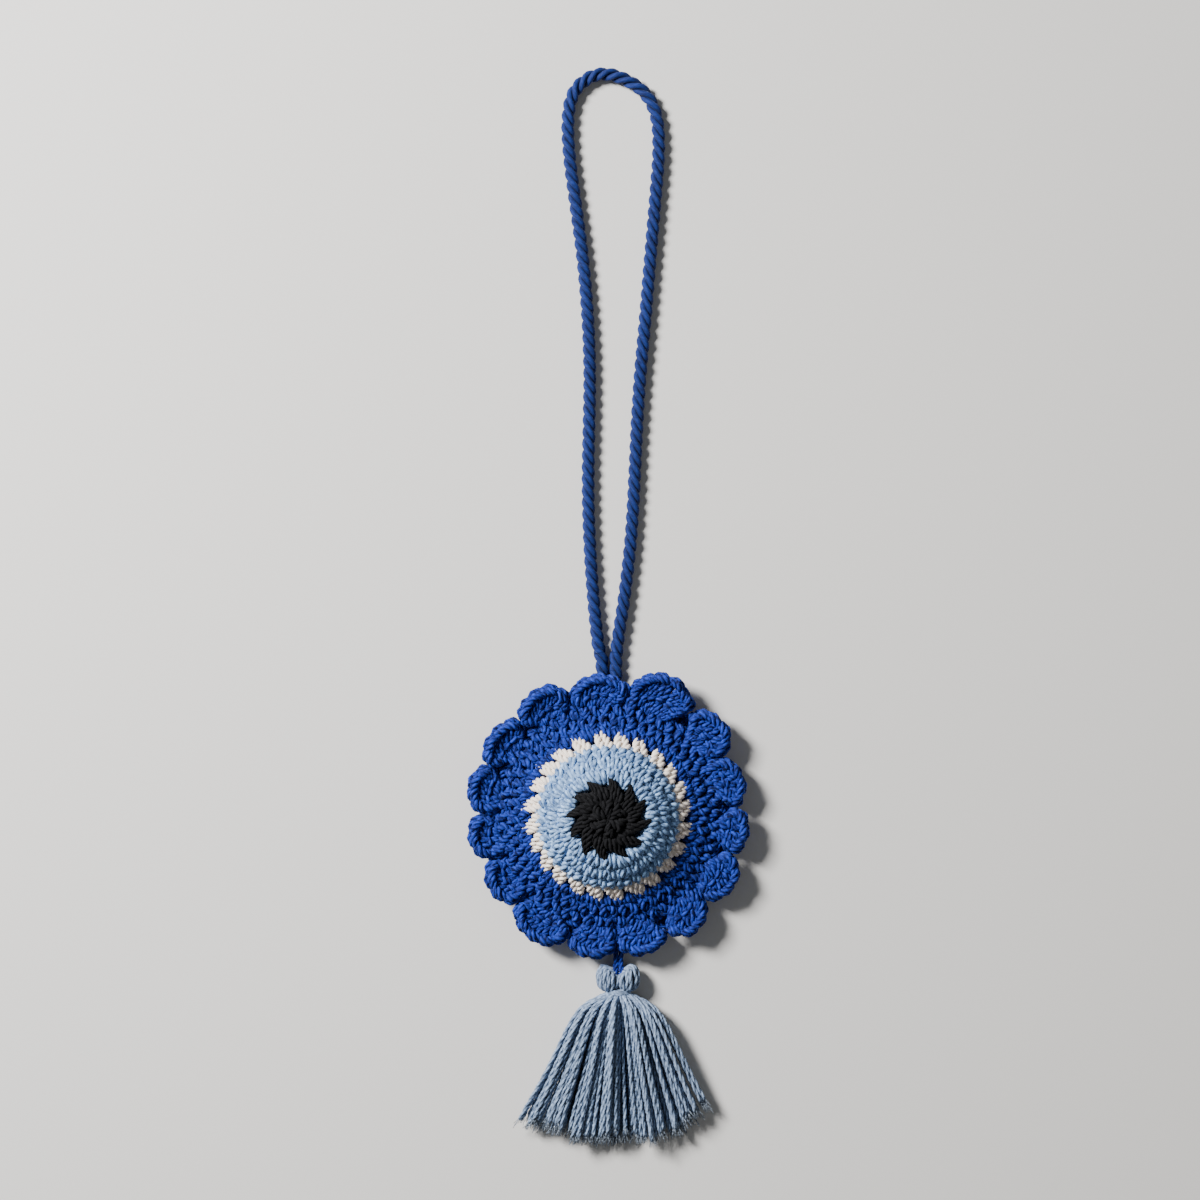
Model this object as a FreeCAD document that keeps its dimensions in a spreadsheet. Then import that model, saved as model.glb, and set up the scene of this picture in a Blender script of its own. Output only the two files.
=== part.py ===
import FreeCAD, Part
import math
import os

import Sketcher

# Crocheted evil eye: a stuffed round amulet with a scalloped border, a hanging cord and a tassel.
# It lies on its back. The origin is the centre of the back panel's resting face, +Z points out of the
# eye's face, +Y towards the hanging loop. Millimetres.

os.makedirs("parts", exist_ok=True)
doc = FreeCAD.newDocument("crocheted_eye")
sheet = doc.addObject("Spreadsheet::Sheet", "Sizes")
Vector = FreeCAD.Vector
Z_AXIS = Vector(0, 0, 1)
next_row = 1


def add_sizes(**values):
    """Write plain numbers to the sheet, one row each, with the name as the cell's alias."""
    global next_row
    for name, value in values.items():
        sheet.set("A%d" % next_row, name)
        sheet.set("B%d" % next_row, str(value))
        sheet.setAlias("B%d" % next_row, name)
        next_row += 1
    doc.recompute()


def size(name):
    return float(sheet.get(name))


# ---------------------------------------------------------------- driving dimensions

# Front of the eye: the edges between its rounds, from the centre out. Each edge has a radius and the
# heights of the fabric's outer and inner side there.
ROUND_EDGES = ["centre", "pupil_ring", "pupil_rim", "iris_ring", "iris_rim", "white_rim", "ridge_rim",
               "face_rim"]
add_sizes(centre_radius=0.0, centre_top=20.6, centre_low=17.2)
add_sizes(pupil_ring_radius=6.0, pupil_ring_top=19.9, pupil_ring_low=16.4)
add_sizes(pupil_rim_radius=10.8, pupil_rim_top=18.3, pupil_rim_low=14.5)
add_sizes(iris_ring_radius=14.6, iris_ring_top=15.9, iris_ring_low=11.4)
add_sizes(iris_rim_radius=18.0, iris_rim_top=12.3, iris_rim_low=7.8)
add_sizes(white_rim_radius=21.0, white_rim_top=8.9, white_rim_low=5.0)
add_sizes(ridge_rim_radius=26.4, ridge_rim_top=7.6, ridge_rim_low=4.0)
add_sizes(face_rim_radius=31.0, face_rim_top=6.6, face_rim_low=3.3)
add_sizes(round_gap=0.1, round_edge_fillet=0.9)

# Back panel and the fibre fill between it and the dome.
add_sizes(back_radius=31.0, back_thickness=3.0, back_edge_fillet=1.1)
add_sizes(fill_radius=20.0, fill_wall_top=5.2, fill_gap=0.3)

# Scallops, clockwise from the one under the cord. notch_NN closes scallop NN on its clockwise side;
# angles are counterclockwise from +X. reach is the tip's radius and curl is how far the tip turns up.
NOTCH_ANGLES = [79.9, 51.1, 27.4, 3.4, -17.1, -40.8, -63.0, -86.4,
                -108.3, -136.2, -159.6, -181.1, -203.0, -226.9, -252.1]
NOTCH_RADII = [34.8, 37.5, 34.6, 36.5, 36.5, 34.8, 37.3, 34.9, 36.2, 34.6, 34.5, 35.0, 36.6, 36.2, 34.8]
REACHES = [38.8, 40.9, 39.9, 37.8, 37.9, 39.2, 38.9, 39.2, 39.2, 38.9, 37.4, 38.0, 38.3, 38.5, 39.0]
CURLS = [1.2, 1.6, 1.0, 1.0, 1.4, 1.0, 0.8, 0.6, 0.6, 1.8, 2.6, 2.8, 2.8, 2.6, 2.0]
SCALLOPS = range(1, len(REACHES) + 1)
add_sizes(scallop_base_radius=31.1, scallop_base_low=3.0, scallop_knee_radius=33.4,
          scallop_knee_low=3.8, scallop_thickness=2.6, scallop_side_gap=0.5)
for number in SCALLOPS:
    add_sizes(**{"notch_angle_%02d" % number: NOTCH_ANGLES[number - 1],
                 "notch_radius_%02d" % number: NOTCH_RADII[number - 1],
                 "reach_%02d" % number: REACHES[number - 1],
                 "curl_%02d" % number: CURLS[number - 1]})

# Hanging cord. It lies on the surface outside the eye and dives between the panels under scallop 1.
add_sizes(cord_diameter=3.6, cord_lie_height=1.85, channel_clearance=0.1)
add_sizes(knot_middle_x=0.25, knot_middle_y=15.2, knot_height=5.4,
          knot_width=8.4, knot_radius=2.3, knot_edge_fillet=1.6)

# Tassel. Its link leaves the notch between scallops 8 and 9; all of it lies on the surface.
add_sizes(link_radius=1.4, link_x=2.7, link_lie_height=4.0)
add_sizes(link_sewn_end=-32.6, link_anchor_end=-37.0, link_start=-39.4, link_swing_y=-42.0)
add_sizes(lobe_offset=2.4, lobe_radius=3.8, lobe_y=-43.7, head_end=-46.8)
add_sizes(lobe_notch_radius=1.75, lobe_notch_half_width=4.0)
add_sizes(wrap_radius=3.3, wrap_flatten=0.8, wrap_start=-46.9, wrap_length=1.5, wrap_edge_fillet=0.5)
# Skirt sections: distance along -Y, width and depth of the flattened bunch of strands.
add_sizes(skirt_1_y=-48.5, skirt_1_width=9.0, skirt_1_depth=6.6)
add_sizes(skirt_2_y=-51.5, skirt_2_width=20.0, skirt_2_depth=9.0)
add_sizes(skirt_3_y=-60.0, skirt_3_width=31.5, skirt_3_depth=10.4)
add_sizes(skirt_4_y=-72.0, skirt_4_width=43.0, skirt_4_depth=10.2)
add_sizes(skirt_5_y=-85.8, skirt_5_width=50.0, skirt_5_depth=8.4)
SKIRT_SECTIONS = range(1, 6)

# ---------------------------------------------------------------- shared ways of making a piece


def origin_plane(body, role):
    """One of a body's own origin planes, found by its role."""
    return next(feature for feature in body.Origin.OriginFeatures if feature.Role == role)


def section_sketch(body, name, plane_role, points):
    """A closed polygon on an origin plane. Each point is a pair of expressions in the sheet's names."""
    sketch = body.newObject("Sketcher::SketchObject", name)
    sketch.AttachmentSupport = (origin_plane(body, plane_role), [""])
    sketch.MapMode = "FlatFace"
    places = [(evaluate(across), evaluate(up)) for across, up in points]
    count = len(points)
    for index, (across, up) in enumerate(places):
        far_across, far_up = places[(index + 1) % count]
        sketch.addGeometry(Part.LineSegment(Vector(across, up, 0), Vector(far_across, far_up, 0)))
    for index in range(count):
        sketch.addConstraint(Sketcher.Constraint("Coincident", index, 2, (index + 1) % count, 1))
        pin_point(sketch, index, 1, places[index], points[index])
    return sketch


def evaluate(expression):
    """Value of an expression written in the sheet's names, as a plain number."""
    result = sheet.evalExpression(expression.replace("Sizes.", ""))
    return float(getattr(result, "Value", result))


def pin_point(sketch, geometry, end, place, expressions):
    """Hold one end of a sketch line or arc at a place that two expressions give."""
    for direction, axis, value, expression in (("DistanceX", -2, place[0], expressions[0]),
                                               ("DistanceY", -1, place[1], expressions[1])):
        if abs(value) < 1e-6:
            sketch.addConstraint(Sketcher.Constraint("PointOnObject", geometry, end, axis))
            continue
        index = sketch.addConstraint(Sketcher.Constraint(direction, -1, 1, geometry, end, value))
        sketch.setExpression("Constraints[%d]" % index, expression)


def revolve(body, sketch, name, angle="360"):
    """Turn a section about the body's Z axis."""
    turn = body.newObject("PartDesign::Revolution", name)
    turn.Profile = sketch
    turn.ReferenceAxis = (sketch, ["V_Axis"])
    turn.Midplane = True
    turn.setExpression("Angle", angle)
    doc.recompute()
    return turn


def fillet_edges(body, feature, name, radius, keep_edge):
    """Round the edges of a feature that keep_edge accepts."""
    chosen = ["Edge%d" % (index + 1) for index, edge in enumerate(feature.Shape.Edges) if keep_edge(edge)]
    rounding = body.newObject("PartDesign::Fillet", name)
    rounding.Base = (feature, chosen)
    rounding.setExpression("Radius", radius)
    doc.recompute()
    return rounding


def new_body(name):
    body = doc.addObject("PartDesign::Body", name)
    body.Label = name
    return body


def cut(name, base, tool):
    """A piece with another shape's room taken out of it."""
    result = doc.addObject("Part::Cut", name)
    result.Base = base
    result.Tool = tool
    result.Label = name
    doc.recompute()
    return result


def knot_shape(name, clearance):
    """A short fat roll across the two strands, with rounded ends."""
    roll = doc.addObject("Part::Cylinder", name + "_roll")
    roll.setExpression("Radius", "Sizes.knot_radius + %g" % clearance)
    roll.setExpression("Height", "Sizes.knot_width + %g" % (2 * clearance))
    left_end = size("knot_middle_x") - size("knot_width") / 2 - clearance
    roll.Placement = FreeCAD.Placement(Vector(left_end, size("knot_middle_y"), size("knot_height")),
                                       FreeCAD.Rotation(Z_AXIS, Vector(1, 0, 0)))
    doc.recompute()
    rounded = doc.addObject("Part::Fillet", name)
    rounded.Base = roll
    fillet = size("knot_edge_fillet")
    rounded.Edges = [(index + 1, fillet, fillet) for index, edge in enumerate(roll.Shape.Edges)
                     if edge.BoundBox.XLength < 1e-3]
    rounded.Label = name
    doc.recompute()
    return rounded


def rounded_path(points):
    """Straight runs joined by tangent arcs, each arc as large as its two runs allow."""
    corners = [Vector(*point) for point in points]
    edges = []
    radii = []
    here = corners[0]
    for before, corner, after in zip(corners, corners[1:], corners[2:]):
        back = (before - corner).normalize()
        ahead = (after - corner).normalize()
        half_turn = (math.pi - back.getAngle(ahead)) / 2
        set_back = 0.45 * min((corner - before).Length, (after - corner).Length)
        radius = set_back / math.tan(half_turn)
        start = corner + back * set_back
        finish = corner + ahead * set_back
        inwards = (back + ahead).normalize()
        middle = corner + inwards * (radius / math.cos(half_turn) - radius)
        edges.append(Part.LineSegment(here, start).toShape())
        edges.append(Part.Arc(start, middle, finish).toShape())
        radii.append(radius)
        here = finish
    edges.append(Part.LineSegment(here, corners[-1]).toShape())
    return Part.Wire(edges), radii


def tube(name, points, radius_expression):
    """A round cord swept along a path of runs and arcs."""
    wire, radii = rounded_path(points)
    path = doc.addObject("Part::Feature", name + "_path")
    path.Shape = wire
    section = doc.addObject("Part::Circle", name + "_section")
    section.setExpression("Radius", radius_expression)
    first_run = Vector(*points[1]) - Vector(*points[0])
    section.Placement = FreeCAD.Placement(Vector(*points[0]), FreeCAD.Rotation(Z_AXIS, first_run))
    sweep = doc.addObject("Part::Sweep", name)
    sweep.Sections = [section]
    sweep.Spine = (path, [])
    sweep.Solid = True
    sweep.Frenet = False
    doc.recompute()
    expected = math.pi * evaluate(radius_expression) ** 2 * wire.Length
    tightest = min(radii) if radii else float("inf")
    print("%s: length %.1f mm, tightest radius %.1f mm, volume %.1f of %.1f mm3"
          % (name, wire.Length, tightest, sweep.Shape.Volume, expected))
    return sweep


def compound(name, pieces):
    """Separate solids that are one node."""
    group = doc.addObject("Part::Compound", name)
    group.Links = pieces
    group.Label = name
    doc.recompute()
    return group


# ---------------------------------------------------------------- front rounds of the eye


def dome_round(name, inner, outer):
    """One band of the dome, between two round edges, its outer edges rounded like a row of stitches."""
    body = new_body(name)
    inner_radius = "Sizes.%s_radius" % inner
    if inner != "centre":
        inner_radius += " + Sizes.round_gap / 2"
    outer_radius = "Sizes.%s_radius - Sizes.round_gap / 2" % outer
    section = section_sketch(body, name + "_section", "XZ_Plane", [
        (inner_radius, "Sizes.%s_low" % inner), (outer_radius, "Sizes.%s_low" % outer),
        (outer_radius, "Sizes.%s_top" % outer), (inner_radius, "Sizes.%s_top" % inner)])
    band = revolve(body, section, name + "_turn")
    tops = [size(inner + "_top"), size(outer + "_top")]

    def is_top_edge(edge):
        return any(abs(edge.BoundBox.ZMin - top) < 1e-3 and edge.BoundBox.ZLength < 1e-3 for top in tops)

    fillet_edges(body, band, name + "_rounding", "Sizes.round_edge_fillet", is_top_edge)
    return body


ROUND_NAMES = ["pupil_centre_round", "pupil_outer_round", "iris_inner_round", "iris_outer_round",
               "white_round", "blue_inner_round", "blue_outer_round"]
rounds = {name: dome_round(name + ("_uncut" if name.startswith("blue") else ""), inner, outer)
          for name, inner, outer in zip(ROUND_NAMES, ROUND_EDGES, ROUND_EDGES[1:])}

# ---------------------------------------------------------------- back panel

back = new_body("back_panel_uncut")
back_section = section_sketch(back, "back_section", "XZ_Plane", [
    ("0", "0"), ("Sizes.back_radius", "0"), ("Sizes.back_radius", "Sizes.back_thickness"),
    ("0", "Sizes.back_thickness")])
back_disc = revolve(back, back_section, "back_turn")
fillet_edges(back, back_disc, "back_rounding", "Sizes.back_edge_fillet",
             lambda edge: edge.BoundBox.ZLength < 1e-3 and edge.BoundBox.XLength > 1)

# ---------------------------------------------------------------- scallops


def scallop(number, name):
    """A fan of tall stitches: a sector of a curled-up rim, trimmed to a round end in plan."""
    before = (number - 2) % len(SCALLOPS) + 1
    wrap = " + 360" if number == 1 else ""
    span = "(Sizes.notch_angle_%02d%s - Sizes.notch_angle_%02d)" % (before, wrap, number)
    reach = "Sizes.reach_%02d" % number
    over = 2.0
    body = new_body(name)
    slope = "Sizes.curl_%02d / (%s - Sizes.scallop_knee_radius)" % (number, reach)
    end_radius = "%s + %g" % (reach, over)
    end_low = "Sizes.scallop_knee_low + (%s) * (%s - Sizes.scallop_knee_radius + %g)" % (slope, reach, over)
    rise = " + Sizes.scallop_thickness"
    section = section_sketch(body, name + "_section", "XZ_Plane", [
        ("Sizes.scallop_base_radius", "Sizes.scallop_base_low"),
        ("Sizes.scallop_knee_radius", "Sizes.scallop_knee_low"),
        (end_radius, end_low), (end_radius, end_low + rise),
        ("Sizes.scallop_knee_radius", "Sizes.scallop_knee_low" + rise),
        ("Sizes.scallop_base_radius", "Sizes.scallop_base_low" + rise)])
    revolve(body, section, name + "_turn", span + " - Sizes.scallop_side_gap")
    trim_scallop(body, name, number, before, span, reach)
    middle = (size("notch_angle_%02d" % before) + (360 if number == 1 else 0)
              + size("notch_angle_%02d" % number)) / 2
    body.Placement = FreeCAD.Placement(Vector(0, 0, 0), FreeCAD.Rotation(Z_AXIS, middle))
    return body


def trim_scallop(body, name, number, before, span, reach):
    """Cut away what lies outside the arc from notch to tip to notch."""
    outside = 70
    sketch = body.newObject("Sketcher::SketchObject", name + "_outline")
    sketch.AttachmentSupport = (origin_plane(body, "XY_Plane"), [""])
    sketch.MapMode = "FlatFace"
    ends = []
    for side, notch in ((-1, number), (1, before)):
        radius = "Sizes.notch_radius_%02d" % notch
        across = "%s * cos(%s / 2 * 1deg)" % (radius, span)
        up = "%s * sin(%s / 2 * 1deg) * %d" % (radius, span, side)
        ends.append((across, up))
    places = [Vector(evaluate(across), evaluate(up), 0) for across, up in ends]
    tip = Vector(evaluate(reach), 0, 0)
    sketch.addGeometry(Part.Arc(places[0], tip, places[1]))
    corners = [places[1], Vector(places[1].x, outside, 0), Vector(outside, outside, 0),
               Vector(outside, -outside, 0), Vector(places[0].x, -outside, 0), places[0]]
    for corner, following in zip(corners, corners[1:]):
        sketch.addGeometry(Part.LineSegment(corner, following))
    pin_point(sketch, 0, 1, (places[0].x, places[0].y), ends[0])
    pin_point(sketch, 0, 2, (places[1].x, places[1].y), ends[1])
    sketch.addConstraint(Sketcher.Constraint("Coincident", 0, 2, 1, 1))
    for index in range(1, 5):
        sketch.addConstraint(Sketcher.Constraint("Coincident", index, 2, index + 1, 1))
    sketch.addConstraint(Sketcher.Constraint("Coincident", 5, 2, 0, 1))
    pocket = body.newObject("PartDesign::Pocket", name + "_trim")
    pocket.Profile = sketch
    pocket.Type = "ThroughAll"
    pocket.Midplane = True
    volume_before = body.Shape.Volume
    doc.recompute()
    if body.Shape.Volume >= volume_before:
        raise RuntimeError(name + ": the trim cut nothing")


scallop_names = ["scallop_%02d" % number for number in SCALLOPS]
CORD_SCALLOP = "scallop_01"
LINK_SIDE_SCALLOPS = ["scallop_08", "scallop_09"]
cut_scallops = [CORD_SCALLOP] + LINK_SIDE_SCALLOPS
scallops = {name: scallop(number, name + ("_uncut" if name in cut_scallops else ""))
            for number, name in zip(SCALLOPS, scallop_names)}

# ---------------------------------------------------------------- hanging cord

# The free loop lies on the surface. Its route runs up the left strand, over the arch and down the right.
lie = size("cord_lie_height")
CORD_ROUTE = [(-2.9, 47.1, lie), (-4.0, 57.8, lie), (-5.1, 74.0, lie), (-5.5, 90.2, lie), (-5.1, 106.4, lie),
              (-4.9, 119.9, lie), (-5.4, 133.4, lie), (-6.75, 149.6, lie), (-8.6, 163.1, lie),
              (-10.5, 176.6, lie), (-11.1, 187.4, lie), (-9.7, 194.7, lie), (-5.4, 198.7, lie),
              (-0.8, 199.8, lie), (4.6, 198.2, lie), (10.0, 194.7, lie), (13.2, 188.7, lie),
              (13.8, 179.3, lie), (12.7, 165.8, lie), (11.3, 149.6, lie), (10.0, 133.4, lie),
              (8.7, 119.9, lie), (7.8, 106.4, lie), (7.1, 90.2, lie), (6.2, 74.0, lie),
              (4.3, 57.8, lie), (2.6, 47.1, lie)]
hang_cord = tube("hang_cord", CORD_ROUTE, "Sizes.cord_diameter / 2")

# Its first few millimetres beside the rim, one short length of each strand.
ROOT_STRANDS = {"left": [(-1.75, 42.0, lie), (-2.5, 44.6, lie)],
                "right": [(2.1, 42.0, lie), (2.4, 44.6, lie)]}
root = compound("hang_cord_root", [tube("root_" + side, points, "Sizes.cord_diameter / 2")
                                   for side, points in ROOT_STRANDS.items()])

# The sewn-in stretch: under scallop 1, between the panels and into the knot inside the fill.
def anchor_strand(across):
    """Route of one sewn-in strand, from the rim back to the knot."""
    return [(across, 39.1, lie), (across, 34.6, lie), (across, 29.0, 3.0), (across, 20.0, 3.1),
            (across, 16.5, 4.6)]


ANCHOR_STRANDS = {"left": anchor_strand(-1.6), "right": anchor_strand(2.1)}
anchor = compound("cord_anchor", [tube("anchor_" + side, points, "Sizes.cord_diameter / 2")
                                  for side, points in ANCHOR_STRANDS.items()])
channel = compound("cord_channel", [tube("channel_" + side, points,
                                         "Sizes.cord_diameter / 2 + Sizes.channel_clearance")
                                    for side, points in ANCHOR_STRANDS.items()])
knot = knot_shape("cord_knot", 0)
knot_room = knot_shape("knot_room", size("channel_clearance"))

# ---------------------------------------------------------------- fibre fill

fill = new_body("stuffing_uncut")
fill_floor = "Sizes.back_thickness + Sizes.fill_gap / 2"
fill_dome = [("Sizes.%s_radius" % edge, "Sizes.%s_low - Sizes.fill_gap" % edge)
             for edge in ("iris_rim", "iris_ring", "pupil_rim", "pupil_ring", "centre")]
fill_section = section_sketch(fill, "fill_section", "XZ_Plane", [
    ("0", fill_floor), ("Sizes.fill_radius", fill_floor), ("Sizes.fill_radius", "Sizes.fill_wall_top")]
    + fill_dome)
revolve(fill, fill_section, "fill_turn")

# ---------------------------------------------------------------- room for the sewn-in cord

back_panel = cut("back_panel", back, channel)
blue_inner = cut("blue_inner_round", rounds["blue_inner_round"], channel)
blue_outer = cut("blue_outer_round", rounds["blue_outer_round"], channel)
first_scallop = cut(CORD_SCALLOP, scallops[CORD_SCALLOP], channel)
stuffing = cut("stuffing", cut("stuffing_with_channel", fill, channel), knot_room)

# ---------------------------------------------------------------- tassel


def link_run(name, start, finish):
    """A short round run of link yarn along -Y, from one sheet distance to another."""
    run = doc.addObject("Part::Cylinder", name)
    run.setExpression("Radius", "Sizes.link_radius")
    run.setExpression("Height", "Sizes.%s - Sizes.%s" % (start, finish))
    run.Placement = FreeCAD.Placement(Vector(size("link_x"), size(start), size("link_lie_height")),
                                      FreeCAD.Rotation(Z_AXIS, Vector(0, -1, 0)))
    doc.recompute()
    return run


link_anchor = link_run("link_anchor", "link_sewn_end", "link_anchor_end")
link_anchor.Label = "link_anchor"
link_room = link_run("link_room", "link_sewn_end", "link_anchor_end")
link_room.setExpression("Radius", "Sizes.link_radius + Sizes.channel_clearance")
doc.recompute()
parted_scallops = {name: cut(name, scallops[name], link_room) for name in LINK_SIDE_SCALLOPS}
link_eye = doc.addObject("Part::Sphere", "link_eye")
link_eye.setExpression("Radius", "Sizes.link_radius")
link_eye.Placement.Base = Vector(size("link_x"), size("link_swing_y"), size("link_lie_height"))
tassel_link = doc.addObject("Part::Fuse", "tassel_link")
tassel_link.Base = link_run("link_run", "link_start", "link_swing_y")
tassel_link.Tool = link_eye
tassel_link.Label = "tassel_link"



def head_lobe(side, sign):
    """One round lobe of looped strands, resting on the surface."""
    lobe = doc.addObject("Part::Sphere", "lobe_" + side)
    lobe.setExpression("Radius", "Sizes.lobe_radius")
    across = size("link_x") + sign * size("lobe_offset")
    lobe.Placement.Base = Vector(across, size("lobe_y"), size("lobe_radius"))
    return lobe


# Head: two lobes of looped strands, with the notch that the link pulls into their top.
lobes = doc.addObject("Part::Fuse", "tassel_lobes")
lobes.Base = head_lobe("left", -1)
lobes.Tool = head_lobe("right", 1)
notch = doc.addObject("Part::Feature", "head_notch")
swing = Vector(size("link_x"), size("link_swing_y"), -1)
notch_radius = size("lobe_notch_radius")
notch_half = size("lobe_notch_half_width")
notch_depth = 12
mouth = Part.makePolygon([swing + Vector(*corner) for corner in (
    (-notch_radius, 0, 0), (-notch_half, 4, 0), (notch_half, 4, 0), (notch_radius, 0, 0),
    (-notch_radius, 0, 0))])
neck_room = Part.makeBox(notch_depth, notch_depth, notch_depth, Vector(
    size("link_x") - notch_depth / 2, size("head_end") - notch_depth, -1))
notch.Shape = Part.makeCylinder(notch_radius, notch_depth, swing).fuse(
    [Part.Face(mouth).extrude(Vector(0, 0, notch_depth)), neck_room])
doc.recompute()
tassel_head = cut("tassel_head", lobes, notch)

# Neck wrap: yarn wound round the strands just under the head, a little flattened.
wrap = new_body("tassel_neck_wrap")
wrap_sketch = wrap.newObject("Sketcher::SketchObject", "wrap_section")
wrap_sketch.AttachmentSupport = (origin_plane(wrap, "XZ_Plane"), [""])
wrap_sketch.MapMode = "FlatFace"
wrap_half_depth = size("wrap_radius") * size("wrap_flatten")
wrap_sketch.addGeometry(Part.Ellipse(Vector(size("wrap_radius"), 0, 0), Vector(0, wrap_half_depth, 0),
                                     Vector(0, 0, 0)))
wrap_pad = wrap.newObject("PartDesign::Pad", "wrap_pad")
wrap_pad.Profile = wrap_sketch
wrap_pad.setExpression("Length", "Sizes.wrap_length")
doc.recompute()
fillet_edges(wrap, wrap_pad, "wrap_rounding", "Sizes.wrap_edge_fillet",
             lambda edge: edge.BoundBox.YLength < 1e-3)
wrap.Placement.Base = Vector(size("link_x"), size("wrap_start"), size("link_lie_height") - 0.6)

# Skirt: the bunch of strands, flattened where it lies, through one ellipse per section.
sections = []
for number in SKIRT_SECTIONS:
    prefix = "Sizes.skirt_%d_" % number
    ellipse = doc.addObject("Part::Ellipse", "skirt_section_%d" % number)
    ellipse.setExpression("MajorRadius", prefix + "width / 2")
    ellipse.setExpression("MinorRadius", prefix + "depth / 2")
    ellipse.Placement = FreeCAD.Placement(
        Vector(size("link_x"), evaluate(prefix + "y"), evaluate(prefix + "depth / 2")),
        FreeCAD.Rotation(Vector(1, 0, 0), 90))
    sections.append(ellipse)
skirt = doc.addObject("Part::Loft", "tassel_skirt")
skirt.Sections = sections
skirt.Solid = True
skirt.Ruled = False
skirt.Label = "tassel_skirt"
doc.recompute()

# ---------------------------------------------------------------- check and write

nodes = dict(rounds, blue_inner_round=blue_inner, blue_outer_round=blue_outer)
nodes.update(scallops, scallop_01=first_scallop, **parted_scallops)
nodes.update(back_panel=back_panel, stuffing=stuffing, cord_anchor=anchor, cord_knot=knot,
             hang_cord_root=root, hang_cord=hang_cord, link_anchor=link_anchor, tassel_link=tassel_link,
             tassel_head=tassel_head, tassel_neck_wrap=wrap, tassel_skirt=skirt)

doc.recompute()
for part in doc.Objects:
    if "Invalid" in part.State or "Error" in part.State:
        raise RuntimeError("%s failed: %s" % (part.Name, part.State))
for name, part in nodes.items():
    if part.Shape.isNull() or not part.Shape.isValid() or not part.Shape.Solids:
        raise RuntimeError(name + " has no valid solid")
for name, part in nodes.items():
    part.Shape.exportStep("parts/%s.step" % name)
    box = part.Shape.BoundBox
    print("%-20s %2d solid(s) %8.1f mm3  x %.1f..%.1f  y %.1f..%.1f  z %.2f..%.2f" % (
        name, len(part.Shape.Solids), part.Shape.Volume, box.XMin, box.XMax, box.YMin, box.YMax,
        box.ZMin, box.ZMax))
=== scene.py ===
import math
import random

import bpy
import numpy as np
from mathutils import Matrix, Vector


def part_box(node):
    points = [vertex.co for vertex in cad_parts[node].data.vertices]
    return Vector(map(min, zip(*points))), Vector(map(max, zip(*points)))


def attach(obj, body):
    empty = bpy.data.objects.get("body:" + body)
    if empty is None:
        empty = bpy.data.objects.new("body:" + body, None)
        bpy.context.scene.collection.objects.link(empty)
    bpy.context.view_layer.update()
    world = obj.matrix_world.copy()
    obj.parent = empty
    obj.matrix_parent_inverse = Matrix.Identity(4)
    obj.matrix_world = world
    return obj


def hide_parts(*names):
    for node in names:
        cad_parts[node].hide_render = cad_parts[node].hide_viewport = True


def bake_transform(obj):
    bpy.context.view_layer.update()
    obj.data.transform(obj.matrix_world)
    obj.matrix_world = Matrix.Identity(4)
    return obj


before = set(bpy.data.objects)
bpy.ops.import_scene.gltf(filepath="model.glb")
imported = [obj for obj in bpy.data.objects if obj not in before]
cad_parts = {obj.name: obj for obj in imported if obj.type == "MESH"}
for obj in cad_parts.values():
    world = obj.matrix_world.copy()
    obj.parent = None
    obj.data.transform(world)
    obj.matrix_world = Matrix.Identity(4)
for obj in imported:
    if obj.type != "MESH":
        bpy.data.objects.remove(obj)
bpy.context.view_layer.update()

MM = 0.001
random.seed(24)

# ------------------------------------------------------------------ back panel
# The flat crocheted back that the eye lies on: seven rounds of single crochet in royal-blue cotton,
# worked in a spiral from a closed ring. Its right side faces the surface. Everything here is in
# millimetres until a mesh is made.

YARN_PLIES = 3
YARN_PLY_RADIUS = 0.60
YARN_PLY_OFFSET = 0.47
YARN_LAY = 5.2
POINT_SPACING = 0.5
# What sets lines and plies apart: turns of twist, and millimetres along the UV map.
LINE_TWIST = 0.37
LINE_SHIFT = 3.1
PLY_SHIFT = 7.3
LEAST_HEIGHT = 0.03


def smooth_line(knots, spacing):
    """Even points along a smooth line through the knots (Catmull-Rom). Columns after the third follow."""
    knots = np.asarray(knots, dtype=float)
    padded = np.vstack([2 * knots[0] - knots[1], knots, 2 * knots[-1] - knots[-2]])
    steps = np.linspace(0, 1, 8, endpoint=False)[:, None]
    before, start, end, after = padded[:-3, None], padded[1:-2, None], padded[2:-1, None], padded[3:, None]
    t = steps[None]
    dense = 0.5 * (2 * start + (end - before) * t + (2 * before - 5 * start + 4 * end - after) * t ** 2
                   + (3 * start - 3 * end + after - before) * t ** 3)
    dense = np.vstack([dense.reshape(-1, knots.shape[1]), knots[-1]])
    travel = np.concatenate([[0], np.cumsum(np.linalg.norm(np.diff(dense[:, :3], axis=0), axis=1))])
    wanted = np.linspace(0, travel[-1], max(int(travel[-1] / spacing), 2) + 1)
    return np.column_stack([np.interp(wanted, travel, column) for column in dense.T])


def turning_frames(line):
    """Two directions across the line at each point, carried along it without twisting."""
    along = np.gradient(line[:, :3], axis=0)
    along /= np.linalg.norm(along, axis=1)[:, None]
    side = np.empty_like(along)
    start = np.cross(along[0], [0.0, 0.0, 1.0])
    if np.linalg.norm(start) < 0.1:
        start = np.cross(along[0], [1.0, 0.0, 0.0])
    side[0] = start / np.linalg.norm(start)
    for index in range(1, len(line)):
        carried = side[index - 1] - along[index] * side[index - 1].dot(along[index])
        side[index] = carried / np.linalg.norm(carried)
    return side, np.cross(along, side)


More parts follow.
